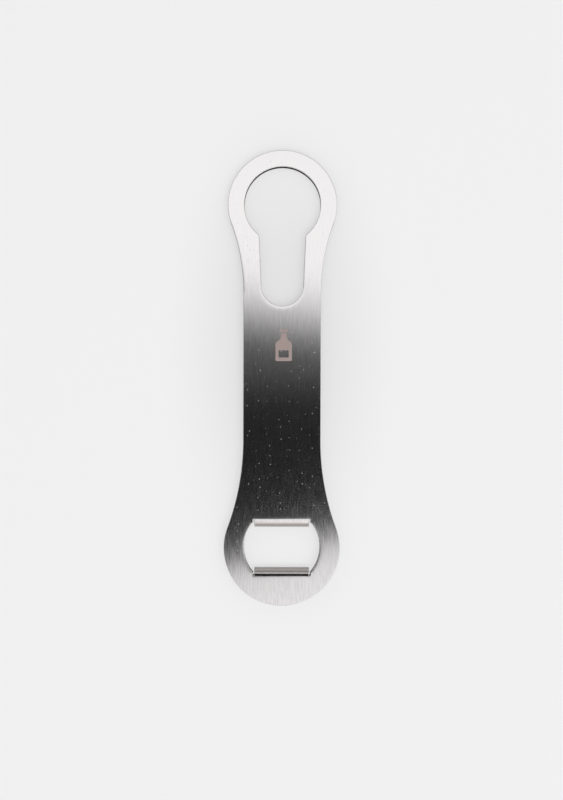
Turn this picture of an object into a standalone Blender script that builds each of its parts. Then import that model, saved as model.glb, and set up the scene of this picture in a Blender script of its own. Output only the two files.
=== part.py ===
"""A flat bar-blade bottle opener, blanked and formed from one sheet of brushed stainless steel.

The blade lies flat with its marked face up (+Z), its keyhole head towards +Y and its cap head towards
-Y. It is symmetric about x = 0. The two lips of the cap hole are tongues of the same sheet, folded down
along creases, and their lowest edges are at z = 0. Sizes are in metres and angles in radians.
"""

import math

import bmesh
import bpy
from mathutils import Matrix, Vector

# The blank
LENGTH = 0.178
SHEET_THICKNESS = 0.0025
HANDLE_WIDTH = 0.0304
KEYHOLE_HEAD_RADIUS = 0.02135
KEYHOLE_WAIST_RADIUS = 0.079
CAP_HEAD_RADIUS = 0.0227
CAP_WAIST_RADIUS = 0.0986
RIM_ROUND = 0.00022

# The keyhole, which lifts pour spouts out of bottles
SPOUT_HOLE_RADIUS = 0.0149
SLOT_REACH = 0.0396
SLOT_END_RADIUS = 0.00825
SLOT_TAPER = math.radians(2.5)
SLOT_CORNER_RADIUS = 0.001

# The cap hole, with a lip on each long side and a relief notch at each end of each lip
CAP_HOLE_RADIUS = 0.01485
LIP_LENGTH = 0.0214
LIP_STRAIGHT = 0.00112
LIP_BEND_ANGLE = math.radians(50)
LIP_BEND_RADIUS = 0.00015
NOTCH_WIDTH = 0.00045
NOTCH_DEPTH = 0.00106

# How finely curves are divided
ARC_STEP = math.radians(6)
LONGEST_CHORD = 0.003
LIP_BEND_STEPS = 6
RIM_SEGMENTS = 2

# What follows from those sizes
KEYHOLE_CENTRE = Vector((0, LENGTH / 2 - KEYHOLE_HEAD_RADIUS))
CAP_CENTRE = Vector((0, CAP_HEAD_RADIUS - LENGTH / 2))
SLOT_END_CENTRE = KEYHOLE_CENTRE - Vector((0, SLOT_REACH - SLOT_END_RADIUS))
NOTCH_OUTER_X = LIP_LENGTH / 2 + NOTCH_WIDTH
NOTCH_MOUTH_Y = math.sqrt(CAP_HOLE_RADIUS ** 2 - NOTCH_OUTER_X ** 2)
NOTCH_BOTTOM_Y = NOTCH_MOUTH_Y + NOTCH_DEPTH
LIP_ROOT = RIM_ROUND + 0.0001  # the notches pass the creases, so their rounded corners stay on flat metal

STEEL_COLOUR = (0.62, 0.61, 0.60, 1)
STEEL_ROUGHNESS = 0.28
SHARP_ANGLE = math.radians(40)
RIM_ANGLE = math.radians(45)
UPRIGHT = 0.999


def clear_scene():
    """Remove everything that is already in the scene."""
    for obj in list(bpy.data.objects):
        bpy.data.objects.remove(obj, do_unlink=True)


def polar(angle):
    """The unit vector at an angle from +X."""
    return Vector((math.cos(angle), math.sin(angle)))


def arc(centre, radius, start, end):
    """Points along an arc from one angle to another, both ends included."""
    turn = end - start
    steps = math.ceil(max(abs(turn) / ARC_STEP, abs(turn) * radius / LONGEST_CHORD))
    return [centre + radius * polar(start + turn * i / steps) for i in range(steps + 1)]


def both_sides(right_half):
    """A closed outline from its right-hand half, listed from the bottom to the top."""
    on_axis = 1e-9
    left_half = [Vector((-p.x, p.y)) for p in reversed(right_half) if p.x > on_axis]
    return right_half + left_half


def waist_angle(head_radius, waist_radius):
    """How far a head's round edge runs past its widest point before it meets the hollow of the waist."""
    return math.acos((HANDLE_WIDTH / 2 + waist_radius) / (head_radius + waist_radius))


def blade_outline():
    """The blank's edge: two round heads that run into a straight handle through hollow waists."""
    cap_turn = waist_angle(CAP_HEAD_RADIUS, CAP_WAIST_RADIUS)
    keyhole_turn = waist_angle(KEYHOLE_HEAD_RADIUS, KEYHOLE_WAIST_RADIUS)
    cap_waist = CAP_CENTRE + (CAP_HEAD_RADIUS + CAP_WAIST_RADIUS) * polar(cap_turn)
    keyhole_waist = KEYHOLE_CENTRE + (KEYHOLE_HEAD_RADIUS + KEYHOLE_WAIST_RADIUS) * polar(-keyhole_turn)

    cap_head = arc(CAP_CENTRE, CAP_HEAD_RADIUS, -math.pi / 2, cap_turn)
    lower_waist = arc(cap_waist, CAP_WAIST_RADIUS, math.pi + cap_turn, math.pi)
    upper_waist = arc(keyhole_waist, KEYHOLE_WAIST_RADIUS, math.pi, math.pi - keyhole_turn)
    keyhole_head = arc(KEYHOLE_CENTRE, KEYHOLE_HEAD_RADIUS, -keyhole_turn, math.pi / 2)
    return both_sides(cap_head[:-1] + lower_waist + upper_waist + keyhole_head[1:])


def keyhole_outline():
    """The pour-spout hole, with a slot below it that narrows to a round end."""
    side_normal = polar(-SLOT_TAPER)
    side_along = polar(math.pi / 2 - SLOT_TAPER)
    side_distance = side_normal.dot(SLOT_END_CENTRE - KEYHOLE_CENTRE) + SLOT_END_RADIUS
    across = side_distance + SLOT_CORNER_RADIUS
    down = math.sqrt((SPOUT_HOLE_RADIUS + SLOT_CORNER_RADIUS) ** 2 - across ** 2)
    corner_offset = across * side_normal - down * side_along
    corner_angle = math.atan2(corner_offset.y, corner_offset.x)

    slot_end = arc(SLOT_END_CENTRE, SLOT_END_RADIUS, -math.pi / 2, -SLOT_TAPER)
    corner_centre = KEYHOLE_CENTRE + corner_offset
    corner = arc(corner_centre, SLOT_CORNER_RADIUS, math.pi - SLOT_TAPER, math.pi + corner_angle)
    hole = arc(KEYHOLE_CENTRE, SPOUT_HOLE_RADIUS, corner_angle, math.pi / 2)
    return both_sides(slot_end + corner + hole[1:])


def cap_hole_outline():
    """The cap hole without its lips: two side arcs, and on each long side a lip's root between two notches."""
    arc_end = math.atan2(NOTCH_MOUTH_Y, NOTCH_OUTER_X)
    side = arc(CAP_CENTRE, CAP_HOLE_RADIUS, -arc_end, arc_end)
    notch_bottom = [Vector((LIP_LENGTH / 2, NOTCH_BOTTOM_Y)), Vector((NOTCH_OUTER_X, NOTCH_BOTTOM_Y))]
    lower_notch = [CAP_CENTRE + Vector((p.x, -p.y)) for p in notch_bottom]
    upper_notch = [CAP_CENTRE + p for p in reversed(notch_bottom)]
    return both_sides(lower_notch + side + upper_notch)


def add_loop(bm, outline):
    """Draw a closed outline at z = 0."""
    verts = [bm.verts.new(point.to_3d()) for point in outline]
    return [bm.edges.new((vert, after)) for vert, after in zip(verts, verts[1:] + verts[:1])]


def add_blank(bm):
    """The flat blank: the outline filled between its holes and given its thickness."""
    outlines = (blade_outline(), keyhole_outline(), cap_hole_outline())
    edges = [edge for outline in outlines for edge in add_loop(bm, outline)]
    bmesh.ops.triangle_fill(bm, use_beauty=True, edges=edges)
    extruded = bmesh.ops.extrude_face_region(bm, geom=bm.faces[:])
    top = [item for item in extruded["geom"] if isinstance(item, bmesh.types.BMVert)]
    bmesh.ops.translate(bm, verts=top, vec=(0, 0, SHEET_THICKNESS))
    bmesh.ops.recalc_face_normals(bm, faces=bm.faces[:])


def with_border(face):
    """A face with its edges and vertices, as the extruding operators take it."""
    return [face, *face.edges, *face.verts]


def draw_out(bm, geometry, move):
    """Extrude an end face by a move, and return the new end's geometry."""
    end = bmesh.ops.extrude_face_region(bm, geom=geometry)["geom"]
    bmesh.ops.translate(bm, verts=[item for item in end if isinstance(item, bmesh.types.BMVert)], vec=move)
    return end


def fold_lip(bm, side):
    """Draw a lip out of the hole's wall: a flat root, the bend down and a straight end.

    side is 1 for the lip towards the handle and -1 for the one at the tip.
    """
    wall_middle = CAP_CENTRE.to_3d() + Vector((0, side * NOTCH_BOTTOM_Y, SHEET_THICKNESS / 2))
    wall = min(bm.faces, key=lambda face: (face.calc_center_median() - wall_middle).length)
    root = draw_out(bm, with_border(wall), Vector((0, -side * LIP_ROOT, 0)))

    crease_y = CAP_CENTRE.y + side * (NOTCH_BOTTOM_Y - LIP_ROOT)
    bend_centre = Vector((0, crease_y, -LIP_BEND_RADIUS))
    bend = bmesh.ops.spin(
        bm, geom=root, cent=bend_centre, axis=(side, 0, 0), angle=LIP_BEND_ANGLE, steps=LIP_BEND_STEPS
    )
    lip_direction = Vector((0, -side * math.cos(LIP_BEND_ANGLE), -math.sin(LIP_BEND_ANGLE)))
    draw_out(bm, bend["geom_last"], LIP_STRAIGHT * lip_direction)


def is_rim(edge):
    """Whether an edge is a corner between a face of the sheet and its cut wall, or an end corner of a lip."""
    start, end = (vert.co for vert in edge.verts)
    upright = abs((end - start).normalized().z) > UPRIGHT
    return edge.calc_face_angle(0) > RIM_ANGLE and not upright


def round_rims(bm):
    """Round every stamped corner of the blade and of its lips."""
    rims = [edge for edge in bm.edges if is_rim(edge)]
    bmesh.ops.bevel(
        bm, geom=rims, offset=RIM_ROUND, offset_type="OFFSET", segments=RIM_SEGMENTS, profile=0.5,
        affect="EDGES", clamp_overlap=False, loop_slide=False, material=-1,
    )


def rest_on_lips(bm):
    """Raise the blade until the lowest edges of its lips are at z = 0."""
    lowest = min(vert.co.z for vert in bm.verts)
    bmesh.ops.transform(bm, matrix=Matrix.Translation((0, 0, -lowest)), verts=bm.verts[:])


def steel_material():
    """Brushed stainless steel."""
    material = bpy.data.materials.new("brushed_steel")
    material.use_nodes = True
    shader = material.node_tree.nodes["Principled BSDF"]
    shader.inputs["Base Color"].default_value = STEEL_COLOUR
    shader.inputs["Metallic"].default_value = 1
    shader.inputs["Roughness"].default_value = STEEL_ROUGHNESS
    return material


def make_opener_plate():
    """The whole opener, which is one piece of steel."""
    bm = bmesh.new()
    add_blank(bm)
    for side in (1, -1):
        fold_lip(bm, side)
    bmesh.ops.recalc_face_normals(bm, faces=bm.faces[:])
    round_rims(bm)
    rest_on_lips(bm)

    mesh = bpy.data.meshes.new("opener_plate")
    bm.to_mesh(mesh)
    bm.free()
    mesh.materials.append(steel_material())
    mesh.shade_smooth()
    mesh.set_sharp_from_angle(angle=SHARP_ANGLE)
    plate = bpy.data.objects.new("opener_plate", mesh)
    bpy.context.collection.objects.link(plate)


clear_scene()
make_opener_plate()
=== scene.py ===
"""A bar-blade bottle opener of brushed stainless steel, lying on a light table under soft studio light.

The blade is one sheet of steel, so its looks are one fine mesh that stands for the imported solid. The
outline, the keyhole, the cap hole and the lips are drawn again from the same driving sizes, with the
rolled-over shoulders, round rims and etched mark that the plain solid leaves out. All sizes are in
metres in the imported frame: +Y towards the keyhole head, +Z out of the marked face.
"""

import logging
import math
from collections.abc import Callable, Iterable
from dataclasses import dataclass, field
from enum import IntEnum

import bmesh
import bpy
from mathutils import Matrix, Vector

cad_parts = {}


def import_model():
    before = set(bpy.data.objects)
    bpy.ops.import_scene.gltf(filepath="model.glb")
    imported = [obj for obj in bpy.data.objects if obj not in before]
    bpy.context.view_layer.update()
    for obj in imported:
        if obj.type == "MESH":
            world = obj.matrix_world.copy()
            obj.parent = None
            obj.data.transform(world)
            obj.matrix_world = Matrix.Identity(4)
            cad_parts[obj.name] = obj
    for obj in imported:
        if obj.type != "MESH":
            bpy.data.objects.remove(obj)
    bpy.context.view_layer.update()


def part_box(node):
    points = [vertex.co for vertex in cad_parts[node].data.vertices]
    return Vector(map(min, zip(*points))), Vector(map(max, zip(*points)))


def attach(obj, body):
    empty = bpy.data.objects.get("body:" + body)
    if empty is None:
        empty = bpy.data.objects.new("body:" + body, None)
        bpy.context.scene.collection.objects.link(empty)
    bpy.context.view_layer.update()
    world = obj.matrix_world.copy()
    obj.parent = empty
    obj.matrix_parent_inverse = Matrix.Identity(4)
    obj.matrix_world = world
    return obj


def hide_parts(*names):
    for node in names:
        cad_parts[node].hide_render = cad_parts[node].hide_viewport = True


LOG = logging.getLogger("bar_blade")
NODE = "opener_plate"
BODY = "root"
MM = 0.001
BRUSH_MAP = "brush_direction"
SAME_POINT = 0.001 * MM  # two points of a mirrored outline that are nearer than this are joined
NOISE_LOW, NOISE_HIGH = 0.3, 0.7  # nearly all of a noise texture's values lie between these


def linear_colour(hex_colour: str) -> tuple[float, float, float, float]:
    """Turn an sRGB hex colour into the linear colour that a shader socket takes.

    Args:
        hex_colour: six hex digits after a hash sign.

    Returns:
        Linear red, green and blue, and an alpha of 1.
    """
    channels = [int(hex_colour[i : i + 2], 16) / 255 for i in (1, 3, 5)]
    red, green, blue = (c / 12.92 if c <= 0.04045 else ((c + 0.055) / 1.055) ** 2.4 for c in channels)
    return red, green, blue, 1.0


def add_node(
    tree: bpy.types.NodeTree, kind: str, inputs: dict[str | int, object] | None = None, **settings: object
) -> bpy.types.Node:
    """Add a node to a tree, set its properties, and fill or link its inputs.

    Args:
        tree: the tree that gets the node.
        kind: the node's type name.
        inputs: for each input's name or number, a value, or an output socket to link from.
        settings: the node's own properties.

    Returns:
        The new node.
    """
    node = tree.nodes.new(kind)
    for name, value in settings.items():
        setattr(node, name, value)
    for key, source in (inputs or {}).items():
        if isinstance(source, bpy.types.NodeSocket):
            tree.links.new(source, node.inputs[key])
        else:
            node.inputs[key].default_value = source
    return node


def new_material(name: str) -> tuple[bpy.types.Material, bpy.types.NodeTree, bpy.types.Node]:
    """Make a material with only a Principled shader and its output.

    Args:
        name: the material's name.

    Returns:
        The material, its node tree and its Principled node.
    """
    material = bpy.data.materials.new(name)
    material.use_nodes = True
    tree = material.node_tree
    return material, tree, tree.nodes["Principled BSDF"]


class Face(IntEnum):
    """Which finish a face of the blade wears, in the order of its material slots."""

    BRUSHED = 0
    FORMED = 1
    RIM = 2
    CUT = 3
    MARK = 4


@dataclass(frozen=True)
class BrushedStainless:
    """Austenitic stainless sheet, drawn lengthwise through a fine abrasive belt.

    The belt leaves parallel hairlines, so a reflection stays fairly crisp along the blade and smears
    across it, and neighbouring hairlines catch slightly different parts of the room. The belt bites
    deeper towards the cap head, so the streaks are plainer there.
    """

    name: str = "brushed_stainless"
    light_hex: str = "#D1D0D0"
    dark_hex: str = "#BBBABA"
    dust_hex: str = "#B4B0AD"
    roughness: float = 0.127
    roughness_swing: float = 0.024
    anisotropy: float = 0.8
    hairline: float = 0.15 * MM  # real hairlines are near 0.05 mm and are drawn coarser, to show
    hairline_length: float = 6 * MM
    hairline_tilt: float = 0.0095
    bite_span: float = 120 * MM
    light_bite: float = 0.3
    deep_bite: float = 1.35
    dust_spacing: float = 4.2 * MM
    dust_size: float = 0.21 * MM
    dust_strength: float = 0.8
    dust_roughness: float = 0.7
    scratch_spacing: float = 3.75 * MM
    scratch_reach: float = 0.625 * MM
    scratch_width: float = 0.08 * MM
    scratch_strength: float = 0.3
    scratch_angles: tuple[float, float] = (math.radians(38), math.radians(-63))
    soft_edge: float = 0.3  # a dot is at full strength within this share of its radius

    def material(self) -> bpy.types.Material:
        """Build the brushed finish with its hairlines, dust and fine scratches.

        Returns:
            The material.
        """
        material, tree, shader = new_material(self.name)
        place = add_node(tree, "ShaderNodeTexCoord").outputs["Object"]
        hairlines = self._hairlines(tree, place)
        worn = self._wear(tree, place)

        along = add_node(tree, "ShaderNodeSeparateXYZ", {0: place}).outputs["Y"]
        bite = add_node(
            tree, "ShaderNodeMapRange",
            {0: along, 1: self.bite_span / 2, 2: -self.bite_span / 2, 3: self.light_bite, 4: self.deep_bite},
        )
        centred = add_node(
            tree, "ShaderNodeMapRange", {0: hairlines["Fac"], 1: NOISE_LOW, 2: NOISE_HIGH, 3: -0.5, 4: 0.5}
        )
        streak = add_node(
            tree, "ShaderNodeMath", {0: centred.outputs[0], 1: bite.outputs[0], 2: 0.5},
            operation="MULTIPLY_ADD",
        ).outputs[0]
        dark, light, dust = (linear_colour(tone) for tone in (self.dark_hex, self.light_hex, self.dust_hex))
        steel = add_node(tree, "ShaderNodeMix", {0: streak, 6: dark, 7: light}, data_type="RGBA")
        colour = add_node(tree, "ShaderNodeMix", {0: worn, 6: steel.outputs[2], 7: dust}, data_type="RGBA")
        smoothest, roughest = self.roughness - self.roughness_swing, self.roughness + self.roughness_swing
        rough = add_node(tree, "ShaderNodeMapRange", {0: streak, 3: smoothest, 4: roughest})
        dusty_rough = add_node(tree, "ShaderNodeMix", {0: worn, 2: rough.outputs[0], 3: self.dust_roughness})
        bare = add_node(tree, "ShaderNodeMapRange", {0: worn, 3: 1.0, 4: 0.0})
        tangent = add_node(tree, "ShaderNodeTangent", direction_type="UV_MAP", uv_map=BRUSH_MAP)

        tree.links.new(colour.outputs[2], shader.inputs["Base Color"])
        tree.links.new(dusty_rough.outputs[0], shader.inputs["Roughness"])
        tree.links.new(bare.outputs[0], shader.inputs["Metallic"])
        tree.links.new(tangent.outputs[0], shader.inputs["Tangent"])
        tree.links.new(self._tilted_normal(tree, hairlines["Color"]), shader.inputs["Normal"])
        shader.inputs["Anisotropic"].default_value = self.anisotropy
        return material

    def _hairlines(
        self, tree: bpy.types.NodeTree, place: bpy.types.NodeSocket
    ) -> bpy.types.bpy_prop_collection:
        """Add noise that is drawn out along the blade.

        Args:
            tree: the material's tree.
            place: the position on the piece.

        Returns:
            The noise's outputs: "Fac" is one streak pattern, and "Color" holds three more.
        """
        stretch = (1 / self.hairline, 1 / self.hairline_length, 1 / self.hairline)
        stretched = add_node(tree, "ShaderNodeVectorMath", {0: place, 1: stretch}, operation="MULTIPLY")
        return add_node(
            tree, "ShaderNodeTexNoise",
            {"Vector": stretched.outputs[0], "Scale": 1.0, "Detail": 3.0, "Roughness": 0.6},
        ).outputs

    def _tilted_normal(self, tree: bpy.types.NodeTree, streaks: bpy.types.NodeSocket) -> bpy.types.NodeSocket:
        """Tilt the surface normal a little by each hairline, along and across the blade.

        Args:
            tree: the material's tree.
            streaks: the hairlines' three patterns, of which the first two tilt along X and Y.

        Returns:
            The tilted unit normal.
        """
        surface = add_node(tree, "ShaderNodeNewGeometry").outputs["Normal"]
        centred = add_node(
            tree, "ShaderNodeVectorMath", {0: streaks, 1: (0.5, 0.5, 0.5)}, operation="SUBTRACT"
        ).outputs[0]
        most = (self.hairline_tilt, self.hairline_tilt, 0)
        tilt = add_node(tree, "ShaderNodeVectorMath", {0: centred, 1: most}, operation="MULTIPLY").outputs[0]
        tilted = add_node(tree, "ShaderNodeVectorMath", {0: surface, 1: tilt}, operation="ADD").outputs[0]
        return add_node(tree, "ShaderNodeVectorMath", {0: tilted}, operation="NORMALIZE").outputs[0]

    def _wear(self, tree: bpy.types.NodeTree, place: bpy.types.NodeSocket) -> bpy.types.NodeSocket:
        """Scatter specks of dust and short scratches.

        Args:
            tree: the material's tree.
            place: the position on the piece.

        Returns:
            How much of the steel a speck or a scratch covers, from 0 to 1.
        """
        worn = self._dots(tree, place, self.dust_spacing, self.dust_size, self.dust_strength)
        squeeze = (self.scratch_width / self.scratch_reach, 1, 1)
        for angle in self.scratch_angles:
            turned = add_node(
                tree, "ShaderNodeVectorRotate", {"Vector": place, "Angle": angle}, rotation_type="Z_AXIS"
            )
            along = add_node(
                tree, "ShaderNodeVectorMath", {0: turned.outputs[0], 1: squeeze}, operation="MULTIPLY"
            ).outputs[0]
            scratch = self._dots(tree, along, self.scratch_spacing, self.scratch_width, self.scratch_strength)
            worn = add_node(tree, "ShaderNodeMath", {0: worn, 1: scratch}, operation="MAXIMUM").outputs[0]
        return worn

    def _dots(
        self,
        tree: bpy.types.NodeTree,
        place: bpy.types.NodeSocket,
        spacing: float,
        size: float,
        strength: float,
    ) -> bpy.types.NodeSocket:
        """Scatter soft dots of every radius up to a size, one for each square of a spacing.

        Args:
            tree: the material's tree.
            place: the position on the piece, squeezed along X where the dots are drawn out.
            spacing: the side of the square that holds one dot.
            size: the radius of the largest dot.
            strength: how much of the steel a dot's middle covers.

        Returns:
            How much of the steel the dots cover, from 0 to the strength.
        """
        cells = add_node(
            tree, "ShaderNodeTexVoronoi", {"Vector": place, "Scale": 1 / spacing}, voronoi_dimensions="2D"
        )
        chance = add_node(tree, "ShaderNodeSeparateXYZ", {0: cells.outputs["Color"]}).outputs["X"]
        reach = add_node(
            tree, "ShaderNodeMath", {0: cells.outputs["Distance"], 1: chance}, operation="DIVIDE"
        ).outputs[0]
        edge = size / spacing
        return add_node(
            tree, "ShaderNodeMapRange", {0: reach, 1: edge, 2: self.soft_edge * edge, 3: 0.0, 4: strength}
        ).outputs[0]


@dataclass(frozen=True)
class TumbledRim:
    """The same steel where tumbling in stone has rounded and polished the stamped corners."""

    hex_colour: str = "#C2C1C1"
    roughness: float = 0.27
    roughness_swing: float = 0.05
    stone_mark: float = 0.5 * MM

    def material(self) -> bpy.types.Material:
        """Build the rim's satin polish, slightly uneven from the stones.

        Returns:
            The material.
        """
        material, tree, shader = new_material("tumbled_rim")
        place = add_node(tree, "ShaderNodeTexCoord").outputs["Object"]
        marks = add_node(
            tree, "ShaderNodeTexNoise", {"Vector": place, "Scale": 1 / self.stone_mark, "Detail": 2.0}
        )
        smoothest, roughest = self.roughness - self.roughness_swing, self.roughness + self.roughness_swing
        rough = add_node(
            tree, "ShaderNodeMapRange",
            {0: marks.outputs["Fac"], 1: NOISE_LOW, 2: NOISE_HIGH, 3: smoothest, 4: roughest},
        )
        tree.links.new(rough.outputs[0], shader.inputs["Roughness"])
        shader.inputs["Base Color"].default_value = linear_colour(self.hex_colour)
        shader.inputs["Metallic"].default_value = 1.0
        return material


@dataclass(frozen=True)
class BlankedEdge:
    """The sheet's cut wall: a smooth sheared band above a rougher, darker torn band. The torn band's tone is
    partly its own dullness and partly painted shade, and the near-black grazing tint is painted shade:
    together they stand in for the shade along the walls and at their feet.
    """

    sheared_hex: str = "#7C7A79"
    # painted shade: the torn band is darker than its own dullness alone, for the shade at the walls' feet
    torn_and_shade_hex: str = "#504E4D"
    grazing_shade_hex: str = "#1C1C1C"
    sheared_roughness: float = 0.32
    torn_roughness: float = 0.5
    drag_line: float = 0.12 * MM
    drag_squash: float = 0.15  # how much slower the drag lines change upwards than along the wall
    sheared_from: float = 0.55  # the next three are shares of the sheet's thickness
    band_blend: float = 0.08
    raggedness: float = 0.3

    def material(self, underside: float, sheet: float) -> bpy.types.Material:
        """Build the cut wall's two bands and its upright drag lines, with the painted shade of the dark torn
        band and the dark grazing tint.

        Args:
            underside: the height of the sheet's underside.
            sheet: the sheet's thickness.

        Returns:
            The material.
        """
        material, tree, shader = new_material("blanked_edge_shaded")
        place = add_node(tree, "ShaderNodeTexCoord").outputs["Object"]
        height = add_node(tree, "ShaderNodeSeparateXYZ", {0: place}).outputs["Z"]
        stretch = (1 / self.drag_line, 1 / self.drag_line, self.drag_squash / self.drag_line)
        stretched = add_node(tree, "ShaderNodeVectorMath", {0: place, 1: stretch}, operation="MULTIPLY")
        drag = add_node(
            tree, "ShaderNodeTexNoise", {"Vector": stretched.outputs[0], "Scale": 1.0, "Detail": 2.0}
        )
        ragged = add_node(
            tree, "ShaderNodeMath", {0: drag.outputs["Fac"], 1: self.raggedness * sheet, 2: height},
            operation="MULTIPLY_ADD",
        )
        middle, blend = underside + self.sheared_from * sheet, self.band_blend * sheet
        sheared = add_node(
            tree, "ShaderNodeMapRange", {0: ragged.outputs[0], 1: middle - blend, 2: middle + blend}
        ).outputs[0]
        dark, light = linear_colour(self.torn_and_shade_hex), linear_colour(self.sheared_hex)
        colour = add_node(tree, "ShaderNodeMix", {0: sheared, 6: dark, 7: light}, data_type="RGBA")
        rough = add_node(
            tree, "ShaderNodeMapRange", {0: sheared, 3: self.torn_roughness, 4: self.sheared_roughness}
        )
        tree.links.new(colour.outputs[2], shader.inputs["Base Color"])
        tree.links.new(rough.outputs[0], shader.inputs["Roughness"])
        shader.inputs["Metallic"].default_value = 1.0
        # painted shade: a near-black grazing tint keeps the walls from reflecting the bright table
        shader.inputs["Specular Tint"].default_value = linear_colour(self.grazing_shade_hex)
        return material


@dataclass(frozen=True)
class LaserEtch:
    """Steel frosted by a marking laser: fine overlapping craters that scatter light, faintly warm."""

    light_hex: str = "#B9AAA6"
    dark_hex: str = "#A3948F"
    roughness: float = 0.62
    bare_metal: float = 0.75  # the rest is covered by the beam's dull oxide
    grain: float = 0.22 * MM
    grain_depth: float = 0.02 * MM
    grain_strength: float = 0.3

    def material(self) -> bpy.types.Material:
        """Build the frosted finish with its fine grain.

        Returns:
            The material.
        """
        material, tree, shader = new_material("laser_etch")
        place = add_node(tree, "ShaderNodeTexCoord").outputs["Object"]
        grain = add_node(
            tree, "ShaderNodeTexNoise", {"Vector": place, "Scale": 1 / self.grain, "Detail": 2.0}
        ).outputs["Fac"]
        dark, light = linear_colour(self.dark_hex), linear_colour(self.light_hex)
        colour = add_node(tree, "ShaderNodeMix", {0: grain, 6: dark, 7: light}, data_type="RGBA")
        bump = add_node(
            tree, "ShaderNodeBump",
            {"Height": grain, "Strength": self.grain_strength, "Distance": self.grain_depth},
        )
        tree.links.new(colour.outputs[2], shader.inputs["Base Color"])
        tree.links.new(bump.outputs[0], shader.inputs["Normal"])
        shader.inputs["Roughness"].default_value = self.roughness
        shader.inputs["Metallic"].default_value = self.bare_metal
        return material


class OutlinePen:
    """Draws the right-hand half of an outline, point by point, and mirrors it into a closed loop."""

    def __init__(self, bm: bmesh.types.BMesh, start: Vector, arc_steps: int) -> None:
        """Put the pen down on the symmetry line.

        Args:
            bm: the mesh that is drawn in.
            start: the outline's lowest point.
            arc_steps: how many chords each arc is made of.
        """
        self.bm = bm
        self.arc_steps = arc_steps
        self.older_verts = set(bm.verts)
        self.older_edges = set(bm.edges)
        self.tip = bm.verts.new(start)

    def line(self, to: Vector) -> "OutlinePen":
        """Draw a straight stretch.

        Args:
            to: the point where it ends.

        Returns:
            The pen.
        """
        self.tip = bmesh.ops.extrude_vert_indiv(self.bm, verts=[self.tip])["verts"][0]
        self.tip.co = to
        return self

    def arc(self, centre: Vector, angle: float) -> "OutlinePen":
        """Draw an arc.

        Args:
            centre: the point that it turns about.
            angle: how far it turns, anticlockwise where it is positive.

        Returns:
            The pen.
        """
        turned = bmesh.ops.spin(
            self.bm, geom=[self.tip], cent=centre, axis=(0, 0, 1), angle=angle, steps=self.arc_steps
        )
        self.tip = of_kind(turned["geom_last"], bmesh.types.BMVert)[0]
        return self

    def close(self, shift: Vector) -> list[bmesh.types.BMEdge]:
        """End the half outline on x = 0, mirror it there and move it into place.

        Args:
            shift: how far to move the closed loop.

        Returns:
            The loop's edges.
        """
        self.tip.co.x = 0
        verts, edges = self._drawn()
        bmesh.ops.mirror(
            self.bm, geom=[*verts, *edges], matrix=Matrix.Identity(4), merge_dist=SAME_POINT, axis="X"
        )
        verts, edges = self._drawn()
        bmesh.ops.translate(self.bm, verts=verts, vec=shift)
        return edges

    def _drawn(self) -> tuple[list[bmesh.types.BMVert], list[bmesh.types.BMEdge]]:
        """List the vertices and the edges that this pen has drawn so far."""
        verts = [vert for vert in self.bm.verts if vert not in self.older_verts]
        return verts, [edge for edge in self.bm.edges if edge not in self.older_edges]


def at(x: float, y: float, z: float = 0.0) -> Vector:
    """A point given in metres."""
    return Vector((x, y, z))


def polar(angle: float) -> Vector:
    """The unit vector in the plane at an angle from +X."""
    return at(math.cos(angle), math.sin(angle))


def of_kind(items: Iterable[object], kind: type) -> list:
    """Pick out the items of one kind, such as the vertices that an operator gives back."""
    return [item for item in items if isinstance(item, kind)]


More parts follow.
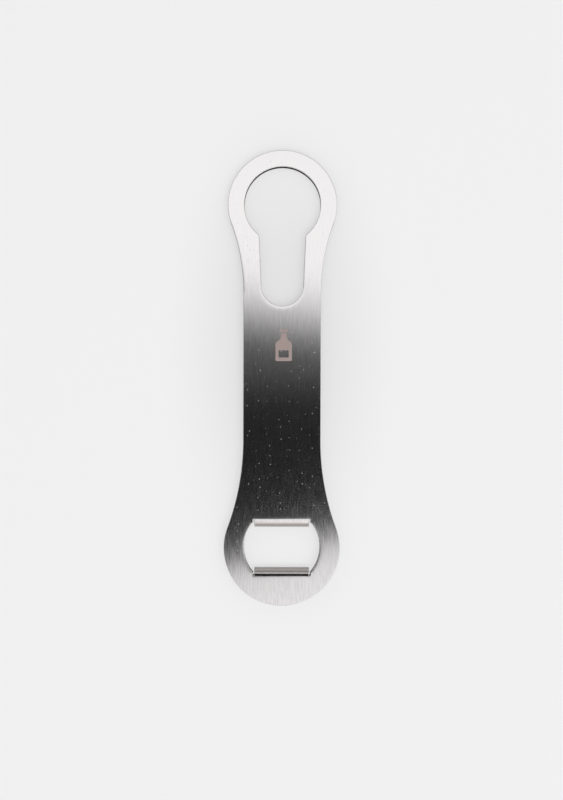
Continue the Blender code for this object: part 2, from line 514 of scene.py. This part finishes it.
@dataclass
class EtchedMark:
    """A generic mark: a small bottle under its cap, with a plain window for a label."""

    middle: Vector = field(default_factory=lambda: at(0.6 * MM, 12.8 * MM))
    height: float = 12.5 * MM
    body_width: float = 6.4 * MM
    body_height: float = 6.2 * MM
    neck_width: float = 2.3 * MM
    cap_width: float = 3.2 * MM
    cap_height: float = 1.2 * MM
    cap_gap: float = 0.4 * MM
    cap_corner: float = 0.25 * MM
    foot_corner: float = 0.6 * MM
    shoulder: float = 2.0 * MM
    label_width: float = 4.0 * MM
    label_height: float = 2.8 * MM
    label_foot: float = 1.4 * MM
    label_corner: float = 0.3 * MM
    depth: float = 0.02 * MM
    arc_steps: int = 8

    def outlines(self, bm: bmesh.types.BMesh, top: float) -> dict[str, list[bmesh.types.BMEdge]]:
        """Draw the mark's loops on the face.

        Args:
            bm: the blade's mesh.
            top: the height of the marked face.

        Returns:
            The edges of the bottle, its label window and its cap.
        """
        shift = self.middle + at(0, -self.height / 2, top)
        cap_foot = self.height - self.cap_height
        label_size = (self.label_width, self.label_height, self.label_corner)
        return {
            "bottle": self._bottle(bm, shift),
            "label": self._block(bm, shift, self.label_foot, *label_size),
            "cap": self._block(bm, shift, cap_foot, self.cap_width, self.cap_height, self.cap_corner),
        }

    def burn(self, bm: bmesh.types.BMesh) -> None:
        """Sink the mark's faces a little below the steel."""
        etched = [face for face in bm.faces if face.material_index == Face.MARK]
        bmesh.ops.inset_region(
            bm, faces=etched, thickness=self.depth, depth=-self.depth, use_even_offset=True, use_boundary=True
        )

    def _bottle(self, bm: bmesh.types.BMesh, shift: Vector) -> list[bmesh.types.BMEdge]:
        """Draw the bottle from its foot to the top of its neck.

        Args:
            bm: the blade's mesh.
            shift: the place of the middle of the mark's foot.

        Returns:
            The outline's edges.
        """
        half_body, half_neck, quarter = self.body_width / 2, self.neck_width / 2, math.pi / 2
        hollow = half_body - half_neck
        turn = math.acos(self.shoulder / (self.shoulder + hollow))
        rise = (self.shoulder + hollow) * math.sin(turn)
        neck_top = self.height - self.cap_height - self.cap_gap
        corner_x = half_body - self.foot_corner
        pen = OutlinePen(bm, at(0, 0), self.arc_steps).line(at(corner_x, 0))
        pen.arc(at(corner_x, self.foot_corner), quarter)
        pen.line(at(half_body, self.body_height)).arc(at(half_body - self.shoulder, self.body_height), turn)
        pen.arc(at(half_neck + hollow, self.body_height + rise), -turn)
        return pen.line(at(half_neck, neck_top)).line(at(0, neck_top)).close(shift)

    def _block(
        self, bm: bmesh.types.BMesh, shift: Vector, foot: float, width: float, height: float, corner: float
    ) -> list[bmesh.types.BMEdge]:
        """Draw a rectangle with round corners.

        Args:
            bm: the blade's mesh.
            shift: the place of the middle of the mark's foot.
            foot: how far the rectangle starts above the mark's foot.
            width: its width.
            height: its height.
            corner: the radius of its corners.

        Returns:
            The outline's edges.
        """
        side = width / 2 - corner
        pen = OutlinePen(bm, at(0, foot), self.arc_steps).line(at(side, foot))
        pen.arc(at(side, foot + corner), math.pi / 2)
        pen.line(at(width / 2, foot + height - corner)).arc(at(side, foot + height - corner), math.pi / 2)
        return pen.line(at(0, foot + height)).close(shift)


OutlineMethod = Callable[[bmesh.types.BMesh, float, float], list[bmesh.types.BMEdge]]


@dataclass
class BarBlade:
    """The whole opener: one blanked sheet with a keyhole, a cap hole, two folded lips and a mark."""

    low: Vector
    high: Vector
    sheet: float = 2.5 * MM
    handle_width: float = 30.4 * MM
    keyhole_head_radius: float = 21.35 * MM
    keyhole_waist_radius: float = 79.0 * MM
    cap_waist_radius: float = 98.6 * MM
    spout_hole_radius: float = 14.9 * MM
    slot_reach: float = 39.6 * MM
    slot_end_radius: float = 8.25 * MM
    slot_taper: float = math.radians(2.5)
    slot_corner_radius: float = 1.0 * MM
    least_corner_radius: float = 0.05 * MM
    cap_hole_radius: float = 14.85 * MM
    lip_length: float = 21.4 * MM
    lip_bend_angle: float = math.radians(50)
    lip_bend_radius: float = 0.15 * MM
    lip_bend_steps: int = 14
    notch_width: float = 0.45 * MM
    notch_depth: float = 1.06 * MM
    lip_root: float = 0.32 * MM
    lip_root_slope: float = math.radians(4.4)
    rim_round: float = 0.22 * MM
    rim_segments: int = 5
    border: float = 1.0 * MM
    shoulder_width: float = 2.4 * MM
    shoulder_drop: float = 0.022 * MM
    shoulder_sharpness: int = 4
    shoulder_rings: int = 4
    shoulder_crowding: float = 1.5  # above 1, the rings are closer together where the fall is steeper
    stack_spacing: float = 10 * MM
    arc_steps: int = 48
    upright: float = 0.999
    rim_angle: float = math.radians(60)
    smooth_angle: float = math.radians(30)
    area_pull: int = 100
    like_area: float = 0.05 * MM * MM
    mark: EtchedMark = field(default_factory=EtchedMark)

    @property
    def cap_head_radius(self) -> float:
        """The broad head's radius, which is half of the whole width."""
        return (self.high.x - self.low.x) / 2

    @property
    def top(self) -> float:
        """The height of the marked face."""
        return self.high.z

    @property
    def underside(self) -> float:
        """The height of the sheet's underside."""
        return self.high.z - self.sheet

    @property
    def keyhole_centre(self) -> Vector:
        """The centre of the keyhole head and of its round hole."""
        return at(0, self.high.y - self.keyhole_head_radius)

    @property
    def cap_centre(self) -> Vector:
        """The centre of the cap head and of its hole."""
        return at(0, self.low.y + self.cap_head_radius)

    @property
    def lip_root_y(self) -> float:
        """How far the root of a lip, level with the bottoms of its notches, is from the cap hole's centre."""
        notch_outer_x = self.lip_length / 2 + self.notch_width
        return math.sqrt(self.cap_hole_radius**2 - notch_outer_x**2) + self.notch_depth

    def build(self) -> bpy.types.Object:
        """Model the blade and dress it.

        Returns:
            The finished piece.
        """
        bm = bmesh.new()
        borders = [
            self._loft(bm, self._blade_outline, self._plain_edge()),
            self._loft(bm, self._keyhole_outline, self._hole_edge()),
            self._loft(bm, self._cap_hole_outline, self._hole_edge()),
        ]
        bmesh.ops.triangle_fill(bm, use_beauty=True, edges=[edge for first, _ in borders for edge in first])
        self._fill_marked_face(bm, [edge for _, last in borders for edge in last])
        for side in (1, -1):
            self._fold_lip(bm, side)
        bmesh.ops.recalc_face_normals(bm, faces=bm.faces[:])
        self._sort_faces(bm)
        self._round_rims(bm)
        self.mark.burn(bm)
        self._map_brushing(bm)
        return self._finish(bm)

    def _plain_edge(self) -> list[tuple[float, float]]:
        """The heights and growths that carry the blank's edge from its underside round to its top."""
        under, top = self.underside, self.top
        return [(under, -self.border), (under, 0.0), (top, 0.0), (top, -self.border)]

    def _hole_edge(self) -> list[tuple[float, float]]:
        """Carry a hole's edge from the underside round to the top.

        The grinding belt dips into each hole as it passes, so the marked face rolls over towards the hole.

        Returns:
            The height and the growth at each station.
        """
        stations = [(self.underside, self.border), (self.underside, 0.0)]
        for ring in range(self.shoulder_rings + 1):
            reach = (ring / self.shoulder_rings) ** self.shoulder_crowding
            fall = self.shoulder_drop * (1 - reach) ** self.shoulder_sharpness
            stations.append((self.top - fall, reach * self.shoulder_width))
        return stations

    def _loft(
        self, bm: bmesh.types.BMesh, outline: OutlineMethod, stations: list[tuple[float, float]]
    ) -> tuple[list[bmesh.types.BMEdge], list[bmesh.types.BMEdge]]:
        """Draw an outline at each station and bridge it to the one before.

        Level loops have no clear direction to bridge in, so they are drawn as a tall stack, bridged, and
        then moved to their heights.

        Args:
            bm: the blade's mesh.
            outline: the method that draws the outline.
            stations: the height and the growth of each outline in turn.

        Returns:
            The edges of the first outline and of the last.
        """
        loops = [outline(bm, index * self.stack_spacing, grow) for index, (_, grow) in enumerate(stations)]
        for loop, after in zip(loops, loops[1:]):
            bmesh.ops.bridge_loops(bm, edges=[*loop, *after])
        for index, (loop, (height, _)) in enumerate(zip(loops, stations)):
            verts = list({vert: None for edge in loop for vert in edge.verts})
            bmesh.ops.translate(bm, verts=verts, vec=at(0, 0, height - index * self.stack_spacing))
        return loops[0], loops[-1]

    def _blade_outline(self, bm: bmesh.types.BMesh, height: float, grow: float) -> list[bmesh.types.BMEdge]:
        """Draw the blank's edge: two round heads that run through hollow waists into the handle.

        Args:
            bm: the blade's mesh.
            height: the height to draw at.
            grow: how far outside the real edge the outline runs.

        Returns:
            The outline's edges.
        """
        half_handle = self.handle_width / 2
        cap_reach = self.cap_head_radius + self.cap_waist_radius
        keyhole_reach = self.keyhole_head_radius + self.keyhole_waist_radius
        cap_turn = math.acos((half_handle + self.cap_waist_radius) / cap_reach)
        keyhole_turn = math.acos((half_handle + self.keyhole_waist_radius) / keyhole_reach)
        cap_waist = self.cap_centre + cap_reach * polar(cap_turn)
        keyhole_waist = self.keyhole_centre + keyhole_reach * polar(-keyhole_turn)
        pen = OutlinePen(bm, at(0, self.low.y - grow), self.arc_steps)
        pen.arc(self.cap_centre, math.pi / 2 + cap_turn).arc(cap_waist, -cap_turn)
        pen.line(at(half_handle + grow, keyhole_waist.y)).arc(keyhole_waist, -keyhole_turn)
        return pen.arc(self.keyhole_centre, math.pi / 2 + keyhole_turn).close(at(0, 0, height))

    def _keyhole_outline(
        self, bm: bmesh.types.BMesh, height: float, grow: float
    ) -> list[bmesh.types.BMEdge]:
        """Draw the pour-spout hole and the slot below it, which narrows to a round end.

        Args:
            bm: the blade's mesh.
            height: the height to draw at.
            grow: how far outside the real hole the outline runs.

        Returns:
            The outline's edges.
        """
        hole = self.spout_hole_radius + grow
        slot = self.slot_end_radius + grow
        corner = max(self.slot_corner_radius - grow, self.least_corner_radius)
        slot_end = self.keyhole_centre - at(0, self.slot_reach - self.slot_end_radius)
        side_normal = polar(-self.slot_taper)
        side_along = polar(math.pi / 2 - self.slot_taper)
        across = side_normal.dot(slot_end - self.keyhole_centre) + slot + corner
        offset = across * side_normal - math.sqrt((hole + corner) ** 2 - across**2) * side_along
        corner_centre = self.keyhole_centre + offset
        corner_angle = math.atan2(offset.y, offset.x)
        pen = OutlinePen(bm, slot_end - at(0, slot), self.arc_steps)
        pen.arc(slot_end, math.pi / 2 - self.slot_taper)
        pen.line(corner_centre - corner * side_normal).arc(corner_centre, corner_angle + self.slot_taper)
        return pen.arc(self.keyhole_centre, math.pi / 2 - corner_angle).close(at(0, 0, height))

    def _cap_hole_outline(
        self, bm: bmesh.types.BMesh, height: float, grow: float
    ) -> list[bmesh.types.BMEdge]:
        """Draw the cap hole up to the roots of its lips, with a notch at each end of each root.

        Args:
            bm: the blade's mesh.
            height: the height to draw at.
            grow: how far outside the real hole the outline runs.

        Returns:
            The outline's edges.
        """
        centre, half_lip = self.cap_centre, self.lip_length / 2
        notch_x = half_lip + self.notch_width + grow
        mouth_y = math.sqrt((self.cap_hole_radius + grow) ** 2 - notch_x**2)
        bottom_y = self.lip_root_y + grow
        pen = OutlinePen(bm, centre - at(0, bottom_y), self.arc_steps)
        pen.line(centre + at(half_lip, -bottom_y))
        pen.line(centre + at(notch_x, -bottom_y)).line(centre + at(notch_x, -mouth_y))
        pen.arc(centre, 2 * math.atan2(mouth_y, notch_x)).line(centre + at(notch_x, bottom_y))
        pen.line(centre + at(half_lip, bottom_y)).line(centre + at(0, bottom_y))
        return pen.close(at(0, 0, height))

    def _fill_marked_face(self, bm: bmesh.types.BMesh, borders: list[bmesh.types.BMEdge]) -> None:
        """Fill the level part of the marked face, and the mark inside it.

        Args:
            bm: the blade's mesh.
            borders: the loops that the level part lies between.
        """
        mark = self.mark.outlines(bm, self.top)
        bmesh.ops.triangle_fill(bm, use_beauty=True, edges=[*borders, *mark["bottle"], *mark["cap"]])
        bmesh.ops.triangle_fill(bm, use_beauty=True, edges=mark["label"])
        bottle = bmesh.ops.triangle_fill(bm, use_beauty=True, edges=[*mark["bottle"], *mark["label"]])["geom"]
        cap = bmesh.ops.triangle_fill(bm, use_beauty=True, edges=mark["cap"])["geom"]
        for face in of_kind([*bottle, *cap], bmesh.types.BMFace):
            face.material_index = Face.MARK

    def _fold_lip(self, bm: bmesh.types.BMesh, side: int) -> None:
        """Draw a lip out of the cap hole's wall: a short root, the bend down and a straight end.

        The straight end is as long as it takes for the lip's lowest edge to meet the bottom of the box.

        Args:
            bm: the blade's mesh.
            side: 1 for the lip towards the handle and -1 for the one at the tip.
        """
        root_y = self.cap_centre.y + side * self.lip_root_y
        wall = [face for face in bm.faces if self._is_lip_wall(face, root_y)]
        border = dict.fromkeys(item for face in wall for item in (*face.edges, *face.verts))
        root_fall = self.lip_root * math.tan(self.lip_root_slope)
        root = self._draw_out(bm, [*wall, *border], at(0, -side * self.lip_root, -root_fall))

        cos, sin = math.cos(self.lip_bend_angle), math.sin(self.lip_bend_angle)
        bend_centre = at(0, root_y - side * self.lip_root, self.underside - root_fall - self.lip_bend_radius)
        bend = bmesh.ops.spin(
            bm, geom=root, cent=bend_centre, axis=(side, 0, 0), angle=self.lip_bend_angle,
            steps=self.lip_bend_steps,
        )
        lowest_corner = self.low.z - self.rim_round * (cos + sin - 1)
        straight = (bend_centre.z + self.lip_bend_radius * cos - lowest_corner) / sin
        self._draw_out(bm, bend["geom_last"], straight * at(0, -side * cos, -sin))

    def _is_lip_wall(self, face: bmesh.types.BMFace, root_y: float) -> bool:
        """Tell whether a face is the stretch of cut wall that a lip is drawn out of.

        Args:
            face: any face of the blade.
            root_y: the Y of that wall.

        Returns:
            True for the wall between the lip's two notches.
        """
        steep, near = 0.5, 0.01 * MM
        middle = face.calc_center_median()
        in_wall = abs(face.normal.z) < steep and abs(middle.y - root_y) < near
        return in_wall and abs(middle.x) < self.lip_length / 2

    def _draw_out(self, bm: bmesh.types.BMesh, geometry: list, move: Vector) -> list:
        """Extrude end faces.

        Args:
            bm: the blade's mesh.
            geometry: the faces with their edges and vertices.
            move: how far the new end is from the old one.

        Returns:
            The new end's faces, edges and vertices.
        """
        end = bmesh.ops.extrude_face_region(bm, geom=geometry)["geom"]
        bmesh.ops.translate(bm, verts=of_kind(end, bmesh.types.BMVert), vec=move)
        return end

    def _sort_faces(self, bm: bmesh.types.BMesh) -> None:
        """Give the walls and the lips' ends the cut finish, and the lips' bends and faces the formed one,
        which is darkened as painted shade.

        Args:
            bm: the blade's mesh, before its corners are rounded.
        """
        slight, nearly_level = 0.1, 0.99
        for face in bm.faces:
            side = math.copysign(1, face.calc_center_median().y - self.cap_centre.y)
            lip_end = face.normal.z < -slight and side * face.normal.y < -slight
            if abs(face.normal.z) < slight or lip_end:
                face.material_index = Face.CUT
            elif abs(face.normal.z) < nearly_level:
                face.material_index = Face.FORMED

    def _round_rims(self, bm: bmesh.types.BMesh) -> None:
        """Round every stamped corner of the blade and of its lips, and give it the rim's finish.

        Args:
            bm: the blade's mesh.
        """
        rims = [edge for edge in bm.edges if self._is_rim(edge)]
        rounded = bmesh.ops.bevel(
            bm, geom=rims, offset=self.rim_round, offset_type="OFFSET", segments=self.rim_segments,
            profile=0.5, affect="EDGES", clamp_overlap=False, loop_slide=False, material=-1,
        )
        for face in rounded["faces"]:
            face.material_index = Face.RIM

    def _is_rim(self, edge: bmesh.types.BMEdge) -> bool:
        """Tell whether an edge is a sharp corner of the sheet, other than an upright corner of a cut wall.

        Args:
            edge: any edge of the blade.

        Returns:
            True for an edge to be rounded.
        """
        start, end = (vert.co for vert in edge.verts)
        upright = abs((end - start).normalized().z) > self.upright
        return edge.calc_face_angle(0) > self.rim_angle and not upright

    def _map_brushing(self, bm: bmesh.types.BMesh) -> None:
        """Lay a map over the blade whose U runs across the brushing, to steer the smear of reflections.

        Args:
            bm: the blade's mesh.
        """
        layer = bm.loops.layers.uv.new(BRUSH_MAP)
        span = self.high.y - self.low.y
        for face in bm.faces:
            for loop in face.loops:
                loop[layer].uv = ((loop.vert.co.x - self.low.x) / span, (loop.vert.co.y - self.low.y) / span)

    def _finish(self, bm: bmesh.types.BMesh) -> bpy.types.Object:
        """Turn the mesh into the dressed piece.

        The shading at a corner follows its largest faces, so the level faces stay flat to the eye right
        up to the rims.

        Args:
            bm: the finished mesh, which is freed.

        Returns:
            The piece.
        """
        mesh = bpy.data.meshes.new("bar_blade")
        bm.to_mesh(mesh)
        bm.free()
        mesh.shade_smooth()
        mesh.set_sharp_from_angle(angle=self.smooth_angle)
        # painted shade: the formed finish is rougher, which is its own, and darker than the brushed steel,
        # which stands in for the shade on the lips' bent faces
        formed_and_shaded = BrushedStainless(
            "formed_stainless_shaded", light_hex="#C2BDBB", dark_hex="#AAA5A3", roughness=0.34, anisotropy=0.3
        )
        mesh.materials.append(BrushedStainless().material())
        mesh.materials.append(formed_and_shaded.material())
        mesh.materials.append(TumbledRim().material())
        mesh.materials.append(BlankedEdge().material(self.underside, self.sheet))
        mesh.materials.append(LaserEtch().material())
        blade = bpy.data.objects.new("bar_blade", mesh)
        bpy.context.scene.collection.objects.link(blade)
        shading = blade.modifiers.new("flat_faces_stay_flat", "WEIGHTED_NORMAL")
        shading.mode = "FACE_AREA"
        shading.weight = self.area_pull
        shading.thresh = self.like_area
        shading.keep_sharp = True
        return blade


@dataclass
class Studio:
    """A light table, an uneven soft room, a key light to the south-east and a camera overhead."""

    blade: BarBlade
    table_size: float = 3.0
    acrylic_hex: str = "#8F8F8F"
    acrylic_roughness: float = 0.9
    acrylic_gloss: float = 0.1
    table_glow: float = 0.615
    # painted shade: how much less the table glows in the oval round the blade
    table_painted_shade: float = 0.09
    painted_shade_centre: Vector = field(default_factory=lambda: at(0, 15 * MM))
    painted_shade_width: float = 100 * MM
    painted_shade_length: float = 200 * MM
    painted_shade_floor: float = 0.2  # the painted shade is at its deepest within this share of its size
    table_gap: float = 0.02 * MM
    lip_reach: float = 2 * MM  # about how far inside its root a lip ends
    room_hex: str = "#FFFEFE"
    north_light: float = 1.45
    north_edge: tuple[float, float] = (0.0555, 0.161)
    north_skew: float = 0.14
    low_north: float = 0.18
    low_north_edge: tuple[float, float] = (0.30, 0.42)
    south_light: float = 1.26
    south_edge: tuple[float, float] = (-0.177, -0.196)
    south_skew: float = 0.26
    rig_dark: float = 0.018
    rig_bright: float = 0.103
    rig_edge: tuple[float, float] = (-0.014, 0.055)
    horizon_light: float = 0.86
    horizon_edge: tuple[float, float] = (0.36, 0.6)
    key_power: float = 1.6
    key_size: float = 0.7
    key_place: Vector = field(default_factory=lambda: at(0.35, -0.6, 0.9))
    lens: float = 36.0
    sensor: float = 36.0
    view_height: float = 312.5 * MM
    view_centre: Vector = field(default_factory=lambda: at(-0.2 * MM, -8.65 * MM))
    view_turn: float = math.radians(0.15)
    clip_start: float = 10 * MM

    def build(self) -> None:
        """Set the table, the light and the camera."""
        self._table()
        self._room()
        self._key_light()
        self._camera()
        bpy.context.scene.view_settings.view_transform = "Standard"

    def _table(self) -> None:
        """Lay the acrylic so that the blade rests on the lip nearer its handle and on the keyhole's tip."""
        lip_y = self.blade.cap_centre.y + self.blade.lip_root_y - self.lip_reach
        tilt = math.atan2(self.blade.underside, self.blade.high.y - lip_y)
        bm = bmesh.new()
        bmesh.ops.create_grid(bm, x_segments=2, y_segments=2, size=self.table_size / 2)
        matrix = Matrix.Translation(at(0, lip_y, -self.table_gap)) @ Matrix.Rotation(tilt, 4, "X")
        bmesh.ops.transform(bm, matrix=matrix, verts=bm.verts[:])
        mesh = bpy.data.meshes.new("light_table")
        bm.to_mesh(mesh)
        bm.free()
        table = bpy.data.objects.new("light_table", mesh)
        bpy.context.scene.collection.objects.link(table)
        mesh.materials.append(self._opal())

    def _opal(self) -> bpy.types.Material:
        """Build opal acrylic that glows evenly from below, with painted shade round the blade: the glow is a
        little weaker in a soft oval where the blade lies.

        Returns:
            The material.
        """
        material, tree, shader = new_material("opal_acrylic")
        place = add_node(tree, "ShaderNodeTexCoord").outputs["Object"]
        centred = add_node(
            tree, "ShaderNodeVectorMath", {0: place, 1: self.painted_shade_centre}, operation="SUBTRACT"
        ).outputs[0]
        squeeze = (2 / self.painted_shade_width, 2 / self.painted_shade_length, 0)
        spread = add_node(
            tree, "ShaderNodeVectorMath", {0: centred, 1: squeeze}, operation="MULTIPLY"
        ).outputs[0]
        reach = add_node(tree, "ShaderNodeVectorMath", {0: spread}, operation="LENGTH").outputs["Value"]
        # painted shade: the glow fades in an oval round the blade, in place of the blade's soft shadow on the
        # table
        dimmest = self.table_glow - self.table_painted_shade
        glow = add_node(
            tree, "ShaderNodeMapRange",
            {0: reach, 1: self.painted_shade_floor, 2: 1.0, 3: dimmest, 4: self.table_glow},
            interpolation_type="SMOOTHSTEP",
        ).outputs[0]
        tree.links.new(glow, shader.inputs["Emission Strength"])
        shader.inputs["Emission Color"].default_value = (1, 1, 1, 1)
        shader.inputs["Base Color"].default_value = linear_colour(self.acrylic_hex)
        shader.inputs["Roughness"].default_value = self.acrylic_roughness
        shader.inputs["Specular IOR Level"].default_value = self.acrylic_gloss
        return material

    def _room(self) -> None:
        """Make the room: bright to the north and south, a long dark rig overhead, and pale near the horizon.

        Only a direction's Y, with a slight skew, says whether it is behind the rig, so that the brushing,
        which smears reflections along X, still shows the rig's edges as nearly level bands.
        """
        world = bpy.data.worlds.new("soft_room")
        bpy.context.scene.world = world
        world.use_nodes = True
        tree = world.node_tree
        direction = add_node(tree, "ShaderNodeTexCoord").outputs["Generated"]
        parts = add_node(tree, "ShaderNodeSeparateXYZ", {0: direction}).outputs

        northward = self._skewed(tree, parts, self.north_skew)
        north_side = self._ramp(tree, northward, self.north_edge, 0, self.north_light)
        falling = self._ramp(tree, parts["Y"], self.low_north_edge, 1, self.low_north)
        southward = self._skewed(tree, parts, -self.south_skew)
        south_side = self._ramp(tree, southward, self.south_edge, 0, self.south_light)
        rig = self._ramp(tree, parts["Y"], self.rig_edge, self.rig_dark, self.rig_bright)
        north = add_node(
            tree, "ShaderNodeMath", {0: north_side, 1: falling, 2: rig}, operation="MULTIPLY_ADD"
        ).outputs[0]
        above = add_node(tree, "ShaderNodeMath", {0: north, 1: south_side}, operation="ADD").outputs[0]
        overhead = self._ramp(tree, parts["Z"], self.horizon_edge, 0, 1)
        radiance = add_node(tree, "ShaderNodeMix", {0: overhead, 2: self.horizon_light, 3: above}).outputs[0]
        background = tree.nodes["Background"]
        tree.links.new(radiance, background.inputs["Strength"])
        background.inputs["Color"].default_value = linear_colour(self.room_hex)

    def _ramp(
        self,
        tree: bpy.types.NodeTree,
        value: bpy.types.NodeSocket,
        edge: tuple[float, float],
        before: float,
        after: float,
    ) -> bpy.types.NodeSocket:
        """Change smoothly from one strength to another.

        Args:
            tree: the world's tree.
            value: what the change follows.
            edge: the values between which it happens.
            before: the strength on the near side of the edge.
            after: the strength beyond it.

        Returns:
            The strength.
        """
        return add_node(
            tree, "ShaderNodeMapRange", {0: value, 1: edge[0], 2: edge[1], 3: before, 4: after},
            interpolation_type="SMOOTHSTEP",
        ).outputs[0]

    def _skewed(
        self, tree: bpy.types.NodeTree, parts: bpy.types.bpy_prop_collection, skew: float
    ) -> bpy.types.NodeSocket:
        """Add a share of a direction's X to its Y, for an edge that isn't quite level.

        Args:
            tree: the world's tree.
            parts: the direction's X, Y and Z.
            skew: the share of X.

        Returns:
            The sum.
        """
        return add_node(
            tree, "ShaderNodeMath", {0: parts["X"], 1: skew, 2: parts["Y"]}, operation="MULTIPLY_ADD"
        ).outputs[0]

    def _key_light(self) -> None:
        """Hang a broad soft light to the south-east, turned towards the blade."""
        lamp = bpy.data.lights.new("key_light", "AREA")
        lamp.shape = "DISK"
        lamp.size = self.key_size
        lamp.energy = self.key_power
        light = bpy.data.objects.new("key_light", lamp)
        light.location = self.key_place
        light.rotation_euler = (-light.location).to_track_quat("-Z", "Y").to_euler()
        bpy.context.scene.collection.objects.link(light)

    def _camera(self) -> None:
        """Hang the camera straight above the blade, far enough back to take in the view's height."""
        lens = bpy.data.cameras.new("overhead_camera")
        lens.lens = self.lens
        lens.sensor_width = self.sensor
        lens.clip_start = self.clip_start
        camera = bpy.data.objects.new("overhead_camera", lens)
        distance = self.view_height * self.lens / self.sensor
        camera.location = self.view_centre + at(0, 0, self.blade.top + distance)
        camera.rotation_euler = (0, 0, self.view_turn)
        bpy.context.scene.collection.objects.link(camera)
        bpy.context.scene.camera = camera


def main() -> None:
    """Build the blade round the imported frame, set the studio and report each piece."""
    logging.basicConfig(level=logging.INFO, format="%(name)s: %(message)s")
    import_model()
    blade = BarBlade(*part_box(NODE))
    piece = blade.build()
    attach(piece, BODY)
    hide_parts(NODE)
    LOG.info("%s: %d faces, rides on %s", piece.name, len(piece.data.polygons), BODY)
    Studio(blade).build()


if __name__ == "__main__":
    main()
